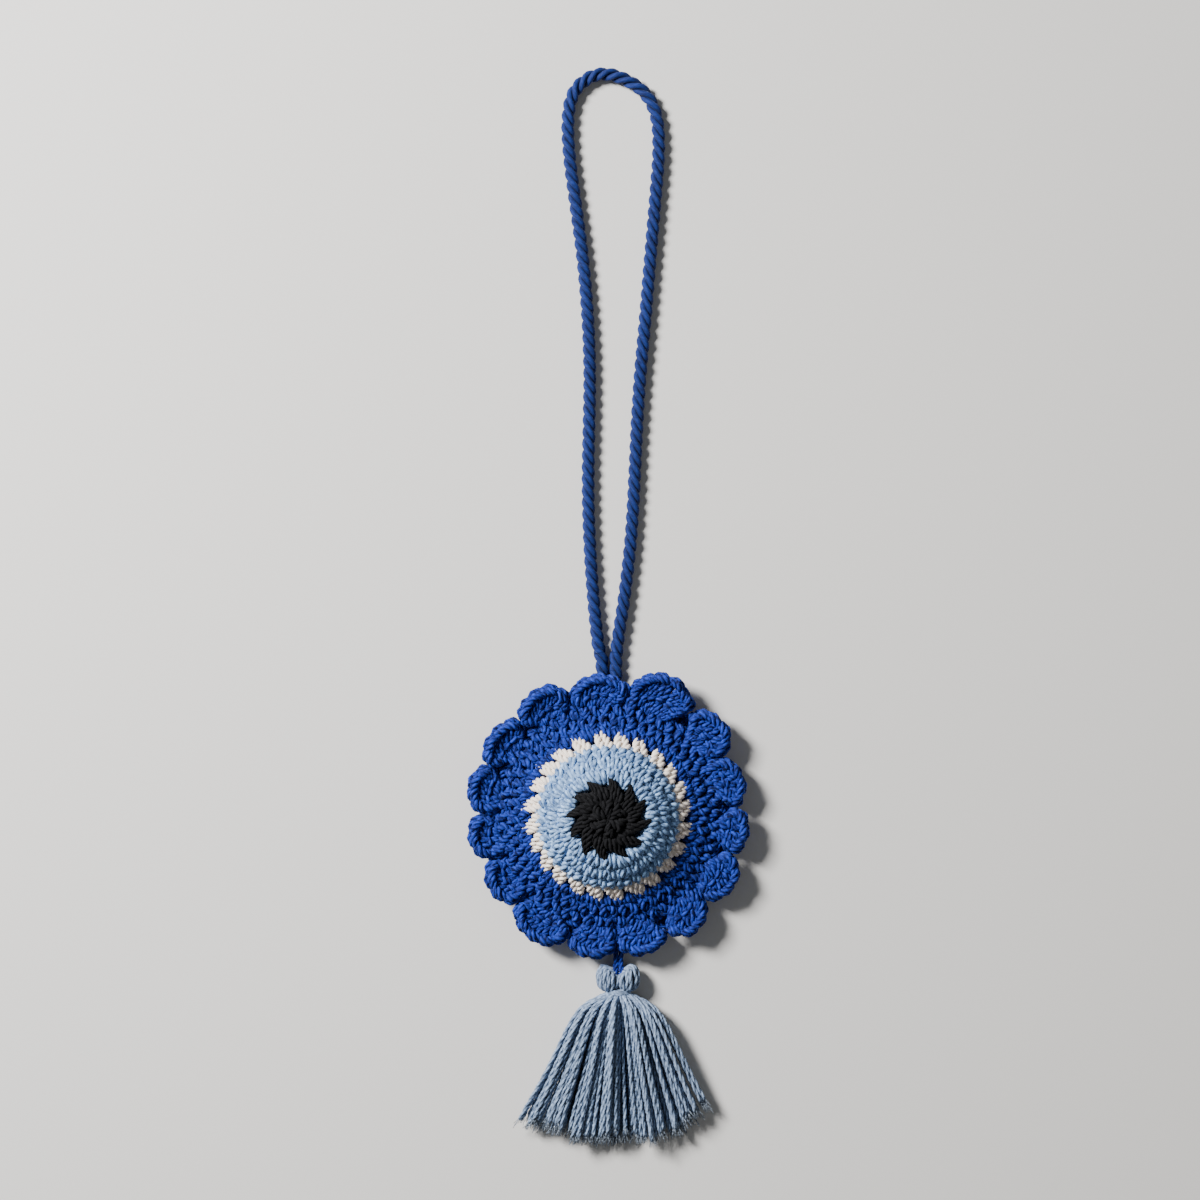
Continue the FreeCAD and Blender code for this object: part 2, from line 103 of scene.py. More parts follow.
def yarn_mesh(name, lines, plies=YARN_PLIES, ply_radius=YARN_PLY_RADIUS, ply_offset=YARN_PLY_OFFSET,
              lay=YARN_LAY, sides=6, rows_kept=slice(None)):
    """Twisted yarn along each line: its plies as thin tubes wound round each other.

    A fourth column scales the yarn's thickness, and rows_kept picks a stretch of each line. The UV map runs
    round the ply in u and along it in v. Yarn flattens where it rests on the surface.
    """
    verts, faces, uvs = [], [], []
    count = 0
    around = np.arange(sides) * 2 * math.pi / sides
    offset = ply_offset if plies > 1 else 0.0
    for number, line in enumerate(lines):
        side, up = turning_frames(line)
        travel = np.concatenate([[0], np.cumsum(np.linalg.norm(np.diff(line[:, :3], axis=0), axis=1))])
        thickness = line[:, 3] if line.shape[1] > 3 else np.ones(len(line))
        line, side, up = line[rows_kept], side[rows_kept], up[rows_kept]
        travel, thickness = travel[rows_kept], thickness[rows_kept]
        for ply in range(plies):
            turn = 2 * math.pi * (ply / plies + LINE_TWIST * number) + 2 * math.pi * travel / lay
            out = np.cos(turn)[:, None] * side + np.sin(turn)[:, None] * up
            centre = line[:, :3] + out * (offset * thickness)[:, None]
            angle = around[None, :] + turn[:, None]
            ring = np.cos(angle)[..., None] * side[:, None] + np.sin(angle)[..., None] * up[:, None]
            tube = centre[:, None] + ring * (ply_radius * thickness)[:, None, None]
            tube[..., 2] = np.maximum(tube[..., 2], LEAST_HEIGHT)
            verts.append(tube.reshape(-1, 3))
            rows, columns = np.meshgrid(np.arange(len(line) - 1), np.arange(sides), indexing="ij")
            near = count + rows * sides + columns
            beside = count + rows * sides + (columns + 1) % sides
            quads = np.stack([near, beside, beside + sides, near + sides], axis=-1).reshape(-1, 4)
            faces.extend(map(tuple, quads.tolist()))
            u_near, u_beside = columns / sides, (columns + 1) / sides
            v_near, v_far = travel[rows], travel[rows + 1]
            shift = ply * PLY_SHIFT + number * LINE_SHIFT
            corner = np.stack([u_near, v_near + shift, u_beside, v_near + shift,
                               u_beside, v_far + shift, u_near, v_far + shift], axis=-1)
            uvs.append(corner.reshape(-1))
            for cap_row, order in ((0, -1), (len(line) - 1, 1)):
                cap = [count + cap_row * sides + column for column in range(sides)][::order]
                faces.append(tuple(cap))
                uvs.append(np.tile([0.5, shift], sides))
            count += len(line) * sides
    mesh = bpy.data.meshes.new(name)
    mesh.from_pydata((np.vstack(verts) * MM).tolist(), [], faces)
    mesh.uv_layers.new(name="yarn").data.foreach_set("uv", np.concatenate(uvs).astype(np.float32))
    mesh.shade_smooth()
    mesh.validate()
    piece = bpy.data.objects.new(name, mesh)
    bpy.context.scene.collection.objects.link(piece)
    return piece


# A Mix node's sockets for two colours and for their mixture.
MIX_A, MIX_B, MIX_RESULT = 6, 7, 2


def fibre_group():
    """Spun fibre: streaks along the ply, a marl of lighter and darker lengths, and painted shade between
    plies.
    """
    group = bpy.data.node_groups.new("spun_fibre", "ShaderNodeTree")
    for label, kind, value in (("Light", "NodeSocketColor", (0.8, 0.8, 0.8, 1)),
                               ("Dark", "NodeSocketColor", (0.2, 0.2, 0.2, 1)),
                               ("Marl Scale", "NodeSocketFloat", 0.25), ("Marl", "NodeSocketFloat", 0.3),
                               ("Streaks", "NodeSocketFloat", 0.5), ("Painted Crease Shade", "NodeSocketFloat", 0.25)):
        socket = group.interface.new_socket(name=label, in_out="INPUT", socket_type=kind)
        socket.default_value = value
    for label, kind in (("Colour", "NodeSocketColor"), ("Height", "NodeSocketFloat"),
                        ("Roughness", "NodeSocketFloat")):
        group.interface.new_socket(name=label, in_out="OUTPUT", socket_type=kind)
    nodes, links = group.nodes, group.links
    enter = nodes.new("NodeGroupInput")
    leave = nodes.new("NodeGroupOutput")
    place = nodes.new("ShaderNodeUVMap")
    place.uv_map = "yarn"
    stretch = nodes.new("ShaderNodeMapping")
    stretch.inputs["Scale"].default_value = (9.0, 1.1, 1.0)
    stretch.inputs["Rotation"].default_value = (0.0, 0.0, 0.12)
    links.new(place.outputs["UV"], stretch.inputs["Vector"])
    streak = nodes.new("ShaderNodeTexNoise")
    streak.inputs["Scale"].default_value = 1.0
    streak.inputs["Detail"].default_value = 4.0
    streak.inputs["Roughness"].default_value = 0.65
    links.new(stretch.outputs["Vector"], streak.inputs["Vector"])
    lengths = nodes.new("ShaderNodeMapping")
    lengths.inputs["Scale"].default_value = (1.6, 1.0, 1.0)
    links.new(place.outputs["UV"], lengths.inputs["Vector"])
    marl = nodes.new("ShaderNodeTexNoise")
    marl.inputs["Detail"].default_value = 3.0
    links.new(lengths.outputs["Vector"], marl.inputs["Vector"])
    links.new(enter.outputs["Marl Scale"], marl.inputs["Scale"])

    def spread(value, amount):
        """Push a noise value away from its middle by an amount."""
        centred = nodes.new("ShaderNodeMath")
        centred.operation = "SUBTRACT"
        centred.inputs[1].default_value = 0.5
        links.new(value, centred.inputs[0])
        wide = nodes.new("ShaderNodeMath")
        wide.operation = "MULTIPLY"
        links.new(centred.outputs[0], wide.inputs[0])
        links.new(amount, wide.inputs[1])
        return wide.outputs[0]

    total = nodes.new("ShaderNodeMath")
    total.operation = "ADD"
    links.new(spread(streak.outputs["Fac"], enter.outputs["Streaks"]), total.inputs[0])
    links.new(spread(marl.outputs["Fac"], enter.outputs["Marl"]), total.inputs[1])
    centre = nodes.new("ShaderNodeMath")
    centre.operation = "ADD"
    centre.use_clamp = True
    centre.inputs[1].default_value = 0.5
    links.new(total.outputs[0], centre.inputs[0])
    mix = nodes.new("ShaderNodeMix")
    mix.data_type = "RGBA"
    links.new(centre.outputs[0], mix.inputs["Factor"])
    links.new(enter.outputs["Dark"], mix.inputs[MIX_A])
    links.new(enter.outputs["Light"], mix.inputs[MIX_B])
    # Painted shade: the side of a ply that faces the yarn's middle, at u 0.5, is darkened in its colour,
    # where the shade between plies falls.
    split = nodes.new("ShaderNodeSeparateXYZ")
    links.new(place.outputs["UV"], split.inputs[0])
    outward = nodes.new("ShaderNodeMath")
    outward.operation = "PINGPONG"
    outward.inputs[1].default_value = 0.5
    links.new(split.outputs["X"], outward.inputs[0])
    painted_crease_shade = nodes.new("ShaderNodeMapRange")
    painted_crease_shade.interpolation_type = "SMOOTHSTEP"
    painted_crease_shade.inputs["From Min"].default_value = 0.12
    painted_crease_shade.inputs["From Max"].default_value = 0.42
    painted_crease_shade.inputs["To Min"].default_value = 1.0
    links.new(enter.outputs["Painted Crease Shade"], painted_crease_shade.inputs["To Max"])
    links.new(outward.outputs[0], painted_crease_shade.inputs["Value"])
    shaded = nodes.new("ShaderNodeVectorMath")
    shaded.operation = "SCALE"
    links.new(mix.outputs[MIX_RESULT], shaded.inputs[0])
    links.new(painted_crease_shade.outputs["Result"], shaded.inputs["Scale"])
    links.new(shaded.outputs[0], leave.inputs["Colour"])
    links.new(streak.outputs["Fac"], leave.inputs["Height"])
    rough = nodes.new("ShaderNodeMapRange")
    rough.inputs["To Min"].default_value = 0.95
    rough.inputs["To Max"].default_value = 0.62
    links.new(streak.outputs["Fac"], rough.inputs["Value"])
    links.new(rough.outputs["Result"], leave.inputs["Roughness"])
    return group


SPUN_FIBRE = fibre_group()


def yarn_material(name, light, dark, marl=0.3, marl_scale=0.25, streaks=1.3, sheen=0.12,
                  sheen_tint=(1, 1, 1), gloss=0.3, painted_crease_shade=0.25):
    """Matt cotton yarn between two colours, with fibre streaks in its colour and relief, and painted shade
    on the inner side of each ply.
    """
    material = bpy.data.materials.new(name)
    material.use_nodes = True
    nodes, links = material.node_tree.nodes, material.node_tree.links
    shader = nodes["Principled BSDF"]
    fibre = nodes.new("ShaderNodeGroup")
    fibre.node_tree = SPUN_FIBRE
    fibre.inputs["Light"].default_value = (*light, 1)
    fibre.inputs["Dark"].default_value = (*dark, 1)
    fibre.inputs["Marl"].default_value = marl
    fibre.inputs["Marl Scale"].default_value = marl_scale
    fibre.inputs["Streaks"].default_value = streaks
    fibre.inputs["Painted Crease Shade"].default_value = painted_crease_shade
    relief = nodes.new("ShaderNodeBump")
    relief.inputs["Strength"].default_value = 0.6
    relief.inputs["Distance"].default_value = 0.0002
    links.new(fibre.outputs["Colour"], shader.inputs["Base Color"])
    links.new(fibre.outputs["Roughness"], shader.inputs["Roughness"])
    links.new(fibre.outputs["Height"], relief.inputs["Height"])
    links.new(relief.outputs["Normal"], shader.inputs["Normal"])
    shader.inputs["Sheen Weight"].default_value = sheen
    shader.inputs["Sheen Roughness"].default_value = 0.4
    shader.inputs["Sheen Tint"].default_value = (*sheen_tint, 1)
    shader.inputs["Specular IOR Level"].default_value = gloss
    return material


# Royal blue: the strong marl and streaks between near black and bright blue are partly the yarn's own flecks
# and partly painted highlights and painted shade on the plies.
BLUE_YARN = yarn_material("royal_blue_cotton", light=(0.020, 0.057, 0.47), dark=(0.0006, 0.0022, 0.034),
                          marl=3.0, marl_scale=1.0, streaks=2.6, sheen=0.10, sheen_tint=(0.34, 0.55, 1.0),
                          gloss=0.2, painted_crease_shade=0.22)

# One single crochet as the hook leaves it. Each knot is (across in stitch widths, up in stitch heights,
# lift in millimetres, thickness): down the back, out through the stitch below, up the front, over the
# head, down the front again, back through, up the back, and the top loop that leans on to the next one.
SINGLE_CROCHET = [
    (-0.45, 0.80, -1.00, 0.90), (-0.20, 0.25, -1.30, 0.90), (-0.10, -0.08, -0.60, 0.80),
    (-0.10, -0.12, 0.60, 0.80), (-0.25, 0.20, 1.35, 1.05), (-0.30, 0.58, 1.40, 1.22),
    (-0.18, 0.92, 0.80, 0.95), (0.00, 1.03, -0.20, 0.85), (0.18, 0.92, 0.70, 0.90),
    (0.30, 0.62, 1.30, 1.18), (0.24, 0.25, 1.35, 1.02), (0.10, -0.12, 0.60, 0.80),
    (0.10, -0.08, -0.60, 0.80), (0.15, 0.30, -1.30, 0.90), (0.10, 0.70, -1.20, 0.90),
    (-0.03, 0.88, -0.40, 0.85), (0.00, 1.12, 0.45, 0.95), (0.20, 1.28, 0.80, 1.05),
    (0.50, 1.20, 0.30, 0.95), (0.85, 1.15, 0.40, 1.00), (1.10, 1.05, -0.40, 0.85),
    (0.85, 1.10, -1.20, 0.90), (0.45, 1.10, -1.30, 0.90), (0.05, 0.98, -0.90, 0.85)]


UNEVEN = 0.12


def stitch_knots(pattern, base, top, base_step, top_step, lift):
    """A stitch pattern set between its base and its top. The steps point along the row at each."""
    knots = []
    for across, up, out, thickness in pattern:
        place = base * (1 - up) + top * up + (base_step * (1 - up) + top_step * up) * across + lift * out
        place += np.array([random.uniform(-UNEVEN, UNEVEN) for axis in range(3)])
        knots.append((*place, thickness * random.uniform(0.95, 1.05)))
    return knots


LEAST_STITCH_WIDTH = 3.2


def crochet_round(surface, count, holes, base_radius, top_radius, turn, handed=1, pattern=SINGLE_CROCHET,
                  lean=0.0):
    """Knots of one round on a surface: count stitches between two radii, worked into the holes below.

    Where there are more stitches than holes, some holes take two feet.
    """
    knots = []
    hole_step, top_step = handed * 2 * math.pi / holes, handed * 2 * math.pi / count
    for number in range(count):
        hole = number * holes // count
        sharing = [other for other in range(count) if other * holes // count == hole]
        apart = 0.5 * (sharing.index(number) - (len(sharing) - 1) / 2)
        base_angle = turn + (hole + apart + random.uniform(-0.05, 0.05)) * hole_step
        top_angle = turn + (number + lean + random.uniform(-0.08, 0.08)) * top_step
        base, base_lift = surface(base_radius + random.uniform(-UNEVEN, UNEVEN), base_angle)
        top, top_lift = surface(top_radius + random.uniform(-UNEVEN, UNEVEN), top_angle)
        steps = [handed * np.array([-math.sin(angle), math.cos(angle), 0])
                 * max(radius * abs(top_step), LEAST_STITCH_WIDTH)
                 for angle, radius in ((base_angle, base_radius), (top_angle, top_radius))]
        knots += stitch_knots(pattern, base, top, *steps, (base_lift + top_lift) / 2)
    return knots


BACK_MIDDLE = 2.0
# The back is pulled flat, so its stitches stand only this much as proud as the front's.
BACK_LIFT = 0.62


def back_surface(radius, angle):
    """The back panel's middle plane. Its right side faces down."""
    place = np.array([radius * math.cos(angle), radius * math.sin(angle), BACK_MIDDLE])
    return place, np.array([0.0, 0.0, -BACK_LIFT])


ROUND_STITCHES = [6, 12, 18, 24, 30, 36, 42]
BACK_RADII = [0.7, 5.2, 10.2, 15.3, 20.4, 25.5, 30.0, 33.0]
ROUND_TURN = 0.3


def back_rounds(numbers):
    """Lines of yarn for some of the back's rounds."""
    lines = []
    for number in numbers:
        count, holes = ROUND_STITCHES[number], ROUND_STITCHES[max(number - 1, 0)]
        foot, top = BACK_RADII[number], BACK_RADII[number + 1]
        knots = crochet_round(back_surface, count, holes, foot, top, ROUND_TURN * number, handed=-1)
        lines.append(smooth_line(knots, POINT_SPACING))
    return lines


back_inner = yarn_mesh("back_panel_inner", back_rounds(range(4)), sides=5)
back_outer = yarn_mesh("back_panel_outer", back_rounds(range(4, 6)), sides=5)
back_edge = yarn_mesh("back_panel_edge", back_rounds(range(6, 7)), sides=5)
for piece in (back_inner, back_outer, back_edge):
    piece.data.materials.append(BLUE_YARN)
    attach(piece, "eye")
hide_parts("back_panel")

# ------------------------------------------------------------------ fibre fill
# A small wad of white polyester fibre between the panels, which raises the dome. It fills the space
# under the front rounds and shows only as a pale shade through the loosest stitches.


def fill_material():
    """Teased white fibre: soft clumps in relief, its white greyed in colour by painted shade that is darkest
    in the hollows between the clumps.
    """
    material = bpy.data.materials.new("fibre_fill")
    material.use_nodes = True
    nodes, links = material.node_tree.nodes, material.node_tree.links
    shader = nodes["Principled BSDF"]
    place = nodes.new("ShaderNodeTexCoord")
    clumps = nodes.new("ShaderNodeTexNoise")
    clumps.inputs["Scale"].default_value = 900
    clumps.inputs["Detail"].default_value = 6
    links.new(place.outputs["Object"], clumps.inputs["Vector"])
    # Painted shade: the white fibre is greyed, most where the clumps' relief is low.
    shade = nodes.new("ShaderNodeMix")
    shade.data_type = "RGBA"
    shade.inputs[MIX_A].default_value = (0.45, 0.45, 0.44, 1)
    shade.inputs[MIX_B].default_value = (0.82, 0.82, 0.80, 1)
    links.new(clumps.outputs["Fac"], shade.inputs["Factor"])
    links.new(shade.outputs[MIX_RESULT], shader.inputs["Base Color"])
    relief = nodes.new("ShaderNodeBump")
    relief.inputs["Strength"].default_value = 0.8
    relief.inputs["Distance"].default_value = 0.0006
    links.new(clumps.outputs["Fac"], relief.inputs["Height"])
    links.new(relief.outputs["Normal"], shader.inputs["Normal"])
    shader.inputs["Roughness"].default_value = 1.0
    shader.inputs["Sheen Weight"].default_value = 0.4
    return material


def fill_piece():
    """The fill as a soft wad: the CAD solid's space, remeshed, drawn in and made uneven."""
    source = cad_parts["stuffing"]
    wad = bpy.data.objects.new("fibre_wad", source.data.copy())
    bpy.context.scene.collection.objects.link(wad)
    bpy.ops.object.select_all(action="DESELECT")
    bpy.context.view_layer.objects.active = wad
    wad.select_set(True)
    remesh = wad.modifiers.new("even", "REMESH")
    remesh.mode = "VOXEL"
    remesh.voxel_size = 0.0009
    bpy.ops.object.modifier_apply(modifier=remesh.name)
    relax = wad.modifiers.new("soften", "SMOOTH")
    relax.iterations = 12
    bpy.ops.object.modifier_apply(modifier=relax.name)
    teased = bpy.data.textures.new("teased_fibre", "CLOUDS")
    teased.noise_scale = 0.004
    lumps = wad.modifiers.new("lumps", "DISPLACE")
    lumps.texture = teased
    lumps.strength = 0.0012
    lumps.mid_level = 1.3
    bpy.ops.object.modifier_apply(modifier=lumps.name)
    wad.data.shade_smooth()
    return wad


wad = fill_piece()
wad.data.materials.clear()
wad.data.materials.append(fill_material())
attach(wad, "eye")
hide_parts("stuffing")

# ------------------------------------------------------------------ front of the eye
# A dome in one spiral of single crochet: two rounds of black for the pupil, three of marled light blue for
# the iris, one of cream white and three of royal blue. Each stitch's foot clasps the top loops of the
# round below, and the tops of the black and the white show as points between the next colour's feet.

# The dome's middle surface, as (radius, height).
DOME = np.array([(0.0, 18.8), (3.0, 18.6), (6.0, 18.0), (10.8, 16.2), (14.6, 13.3), (18.0, 9.9), (20.5, 7.4),
                 (22.5, 6.9), (24.8, 6.7), (27.0, 5.3), (29.0, 4.6), (31.5, 4.2), (34.0, 4.0)])
DOME_FINE = smooth_line(DOME, 0.25)


def dome_surface(radius, angle):
    """Place on the dome's middle surface and the direction out of it, from the fall over a short reach."""
    height = np.interp(radius, DOME_FINE[:, 0], DOME_FINE[:, 1])
    reach = 0.6
    fall = np.interp(radius + reach, DOME_FINE[:, 0], DOME_FINE[:, 1]) - np.interp(
        max(radius - reach, 0), DOME_FINE[:, 0], DOME_FINE[:, 1])
    slope = fall / (reach + min(radius, reach))
    across, along = math.cos(angle), math.sin(angle)
    lift = np.array([-slope * across, -slope * along, 1.0])
    return np.array([radius * across, radius * along, height]), lift / np.linalg.norm(lift)


BLACK_YARN = yarn_material("black_cotton", light=(0.012, 0.012, 0.014), dark=(0.0006, 0.0006, 0.001),
                           sheen=0.03, streaks=2.4, gloss=0.12)
LIGHT_YARN = yarn_material("light_blue_marl", light=(0.41, 0.65, 1.0), dark=(0.045, 0.095, 0.23), marl=2.8,
                           marl_scale=0.9, sheen_tint=(0.6, 0.8, 1.0), painted_crease_shade=0.45)
WHITE_YARN = yarn_material("cream_cotton", light=(1.0, 0.92, 0.83), dark=(0.93, 0.80, 0.69), streaks=0.9,
                           painted_crease_shade=0.75)

# The hidden parts of a stitch whose top the next colour's feet leave bare, before its two legs that meet in
# a point and after them, and how far along the row the point leans, in stitch widths.
POINTED_FOOT = [(-0.45, 0.80, -1.00, 0.85), (-0.20, 0.25, -1.30, 0.85), (-0.10, -0.08, -0.60, 0.80),
                (-0.14, -0.05, 0.50, 0.90)]
POINTED_TAIL = [(0.12, -0.05, 0.50, 0.90), (0.10, -0.08, -0.60, 0.80), (0.15, 0.30, -1.30, 0.85),
                (0.12, 0.75, -1.10, 0.85), (0.05, 0.75, 0.30, 1.00), (0.02, 0.45, 0.80, 1.00),
                (0.08, 0.85, 0.90, 0.95), (0.30, 0.75, -0.40, 0.85), (0.60, 0.70, -0.70, 0.85),
                (0.85, 0.70, -0.90, 0.85), (0.60, 0.65, -1.30, 0.85), (0.20, 0.60, -1.20, 0.85)]


TIP_LEAN = 0.32
LEG_STATIONS = [0.0, 0.2, 0.45, 0.72]


def pointed_leg(side, tip, tip_lift, girth):
    """One leg from its root to near the tip, where it has thinned to a fine end."""
    root_across, root_up, root_lift, thinning = side * 0.25, 0.25, 1.15, 0.84
    return [(TIP_LEAN * share + root_across * (1 - share) ** 0.8, root_up + (tip - root_up) * share,
             root_lift + (tip_lift - root_lift) * share, girth * (1 - thinning * share ** 1.8))
            for share in LEG_STATIONS]


def pointed_stitch(tip, tip_lift, girth):
    """A stitch whose legs taper to a tip, from how far up it is, how proud it stands and the legs' girth."""
    point = (TIP_LEAN, tip, tip_lift, girth * 0.14)
    first, second = (pointed_leg(side, tip, tip_lift, girth) for side in (-1, 1))
    return POINTED_FOOT + first + [point] + second[::-1] + POINTED_TAIL


BLACK_POINT = pointed_stitch(tip=1.6, tip_lift=1.7, girth=1.1)
WHITE_POINT = pointed_stitch(tip=2.5, tip_lift=2.4, girth=1.28)


PAST_TIP = 0.46


def after_points(turn, count):
    """Turn of the next round's first foot, about half way between two points of a round of pointed ones."""
    return turn + (TIP_LEAN + PAST_TIP) * 2 * math.pi / count


IRIS_GIRTH = 1.12
PUPIL_TURN = 0.2
WHITE_TURN = 0.05
# Each piece's rounds: stitches, the holes they are worked into, radius of feet and of tops, turn, pattern.
FRONT_ROUNDS = {
    "pupil_centre_round": (BLACK_YARN, "yarn_black", [(6, 6, 0.8, 4.6, 0.00, SINGLE_CROCHET)]),
    "pupil_outer_round": (BLACK_YARN, "yarn_black", [(12, 6, 5.0, 8.4, PUPIL_TURN, BLACK_POINT)]),
    "iris_inner_round": (LIGHT_YARN, "yarn_light_blue", [
        (18, 12, 9.9, 12.6, after_points(PUPIL_TURN, 12), SINGLE_CROCHET)]),
    "iris_outer_round": (LIGHT_YARN, "yarn_light_blue", [
        (24, 18, 12.6, 15.3, 0.10, SINGLE_CROCHET), (24, 24, 15.4, 17.5, 0.10, SINGLE_CROCHET)]),
    "white_round": (WHITE_YARN, "yarn_white", [(24, 24, 17.5, 19.5, WHITE_TURN, WHITE_POINT)]),
    "blue_inner_round": (BLUE_YARN, "yarn_royal_blue", [
        (30, 24, 20.9, 23.4, after_points(WHITE_TURN, 24), SINGLE_CROCHET)]),
    "blue_outer_round": (BLUE_YARN, "yarn_royal_blue", [
        (30, 30, 23.6, 26.6, 0.10, SINGLE_CROCHET), (30, 30, 26.6, 29.4, 0.16, SINGLE_CROCHET)]),
}
for node, (material, slot_name, rounds) in FRONT_ROUNDS.items():
    lines = [smooth_line(crochet_round(dome_surface, *sizes, pattern=pattern, lean=0.1), POINT_SPACING)
             for *sizes, pattern in rounds]
    girth = IRIS_GIRTH if material == LIGHT_YARN else 1.0
    piece = yarn_mesh(node.replace("_round", "_stitches"), lines, ply_radius=YARN_PLY_RADIUS * girth,
                      ply_offset=YARN_PLY_OFFSET * girth)
    piece.data.materials.append(material)
    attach(piece, "eye")
    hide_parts(node)

# ------------------------------------------------------------------ scallops
# The border that closes the two panels: fans of tall stitches worked into one stitch each, with the
# braid of their top loops as a rim. Tension curls the fans up like cups, most on the left, and those on
# the right lie almost flat.

# One tall stitch, told in the same way as the single crochet. A wrap of yarn crosses its post in front.
TALL_STITCH = [
    (-0.45, 0.90, -0.90, 1.00), (-0.25, 0.45, -1.10, 1.00), (-0.10, -0.04, -0.60, 0.80),
    (-0.10, -0.05, 0.50, 0.80), (-0.24, 0.15, 1.15, 0.95), (-0.15, 0.40, 0.80, 0.85),
    (-0.26, 0.68, 1.30, 1.08), (-0.17, 0.92, 0.60, 0.90), (0.00, 1.02, -0.15, 0.80),
    (0.17, 0.92, 0.60, 0.90), (0.26, 0.68, 1.30, 1.08), (0.15, 0.40, 0.80, 0.85),
    (0.24, 0.15, 1.15, 0.95), (0.10, -0.05, 0.50, 0.80), (0.10, -0.04, -0.60, 0.80),
    (0.20, 0.20, -1.10, 0.85), (0.48, 0.36, -0.30, 0.85), (0.12, 0.46, 1.75, 1.00),
    (-0.38, 0.56, 0.70, 0.90), (-0.42, 0.62, -0.50, 0.85), (0.00, 0.72, -1.20, 0.85),
    (0.05, 0.86, -0.90, 0.80), (-0.03, 0.94, -0.30, 0.80), (0.00, 1.01, 0.45, 0.95),
    (0.20, 1.06, 0.85, 1.12), (0.55, 1.07, 0.80, 1.15), (0.90, 1.04, 0.60, 1.04),
    (1.12, 0.98, -0.20, 0.95), (0.88, 1.03, -0.80, 1.00), (0.45, 1.05, -0.95, 1.00),
    (0.05, 0.97, -0.80, 0.90)]
TALL_STITCH_WIDTH = 3.5
# The slip stitch in each notch, as (out from the fan's foot, up, thickness).
NOTCH_STITCH = [(0.4, -1.6, 1.0), (3.4, -1.7, 1.1), (4.0, -0.4, 1.2), (2.2, 0.3, 1.25), (0.2, 0.2, 1.1)]
SCALLOP_FOOT = 29.6
FOOT_GATHER = 0.4
SCALLOP_HEIGHT = 4.3
NOTCH_DEPTH = 3.2
RIM_YARN = 1.2
# The rim's horseshoe runs from a little before one side, in degrees, for a little more than half a turn.
RIM_START = -14
RIM_SWEEP = 208
# How far round each fan's rim has curled up, in degrees, clockwise from the one under the cord. A fan
# that curls less stands a little higher at its foot.
SCALLOP_CURLS = [14, 16, 8, -4, 6, -6, 4, 8, 14, 20, 26, 18, 20, 24, 24]
FLAT_RISE = 0.027
FLAT_CURL = 30
# The rim's braid lifts the last quarter of the fan.
RIM_LIP = 1.1
LIP_START = 0.75
# The fans that the cord and the tassel's head fold up against are drawn in, in millimetres.
DRAWN_IN = {1: 1.2, 8: 1.0, 9: 1.2}
USUAL_DRAWN_IN = 0.3


class Fan:
    """The cupped surface of one scallop, fitted to its CAD solid's outline."""

    def __init__(self, node, curl, drawn_in):
        places = np.array([vertex.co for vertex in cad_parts[node].data.vertices]) / MM
        reach = np.hypot(places[:, 0], places[:, 1])
        middle = math.atan2(places[:, 1].mean(), places[:, 0].mean())
        angle = (np.arctan2(places[:, 1], places[:, 0]) - middle + math.pi) % (2 * math.pi) - math.pi
        middle += (angle.min() + angle.max()) / 2
        self.out = np.array([math.cos(middle), math.sin(middle), 0.0])
        self.along = np.array([-math.sin(middle), math.cos(middle), 0.0])
        edge = 0.02
        self.shoulders = [reach[angle < angle.min() + edge].max() - NOTCH_DEPTH,
                          reach[angle > angle.max() - edge].max() - NOTCH_DEPTH]
        half_angle = (angle.max() - angle.min()) / 2
        self.half_width = sum(self.shoulders) / 2 * math.sin(half_angle) - RIM_YARN * 0.75
        self.reach = reach.max() - drawn_in
        self.curl = math.radians(curl)
        self.rise = SCALLOP_HEIGHT + FLAT_RISE * max(0, FLAT_CURL - curl)

    def rim(self, across):
        """The horseshoe line of the rim, from the clockwise end at 0 to the other at 1."""
        turn = math.radians(RIM_START + RIM_SWEEP * across)
        shoulder = self.shoulders[0] * (1 - across) + self.shoulders[1] * across
        return np.array([-self.half_width * math.cos(turn),
                         shoulder + (self.reach - RIM_YARN - shoulder) * math.sin(turn)])

    def place(self, across, up):
        """A point of the fan: across its width, and up its height from the shared foot to the rim."""
        rim = self.rim(across)
        foot = np.array([rim[0] * FOOT_GATHER, SCALLOP_FOOT])
        height = math.dist(rim, foot) / abs(math.sin(self.curl))
        flat = foot + (rim - foot) * math.sin(self.curl * up) / math.sin(self.curl)
        rise = self.rise + math.copysign(height, self.curl) * (1 - math.cos(self.curl * up))
        rise += RIM_LIP * max(0.0, up - LIP_START) / (1 - LIP_START)
        return self.along * flat[0] + self.out * flat[1] + (0, 0, rise)

    def lift(self, across, up):
        """The direction out of the fan's right side."""
        small = 0.05
        wide = self.place(across + small, up) - self.place(across - small, up)
        tall = self.place(across, up + small) - self.place(across, up - small)
        out = np.cross(tall, wide)
        return out / np.linalg.norm(out)


